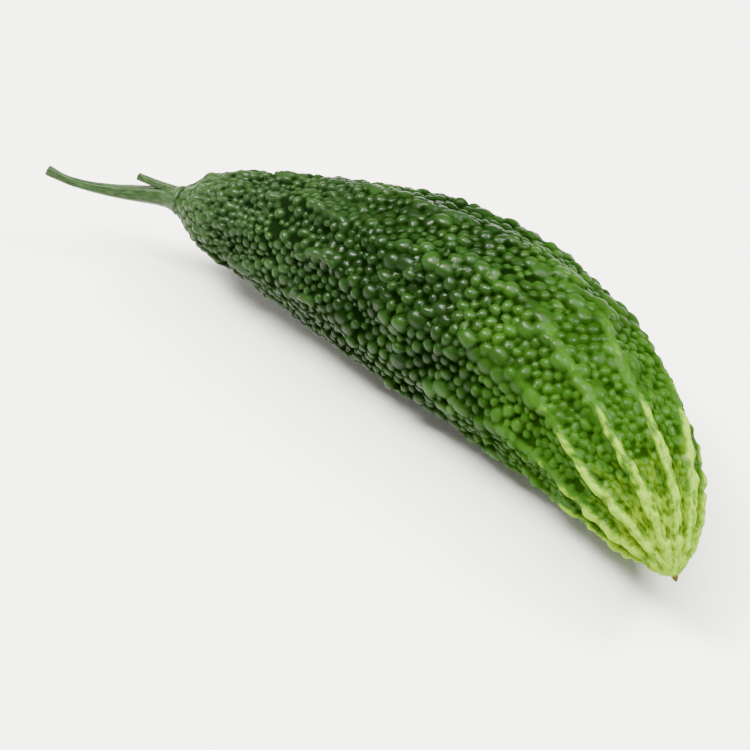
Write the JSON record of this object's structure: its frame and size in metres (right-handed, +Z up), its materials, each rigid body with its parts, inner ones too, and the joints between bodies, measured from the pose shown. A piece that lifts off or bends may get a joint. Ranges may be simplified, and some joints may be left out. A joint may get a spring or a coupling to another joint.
{
  "type": "bitter gourd",
  "caption": "Whole bitter gourd with its cut stalk, lying on its side: a bowed spindle covered in warts, with ridges that run together at the tip.",
  "frame": {"origin": "on the surface that the gourd lies on, at the pressed flat wart under its belly", "axes": "+X from the stalk's end towards the blossom tip, +Y towards the side that bulges, +Z up"},
  "size_m": [0.2205, 0.0718, 0.0528],
  "materials": {
    "gourd_skin": "waxy, deep green, paling to yellow-green at the tip",
    "stalk_skin": "soft grey-green"
  },
  "bodies": {
    "root": {"fruit": "gourd_skin", "stem": "stalk_skin"}
  },
  "joints": []
}
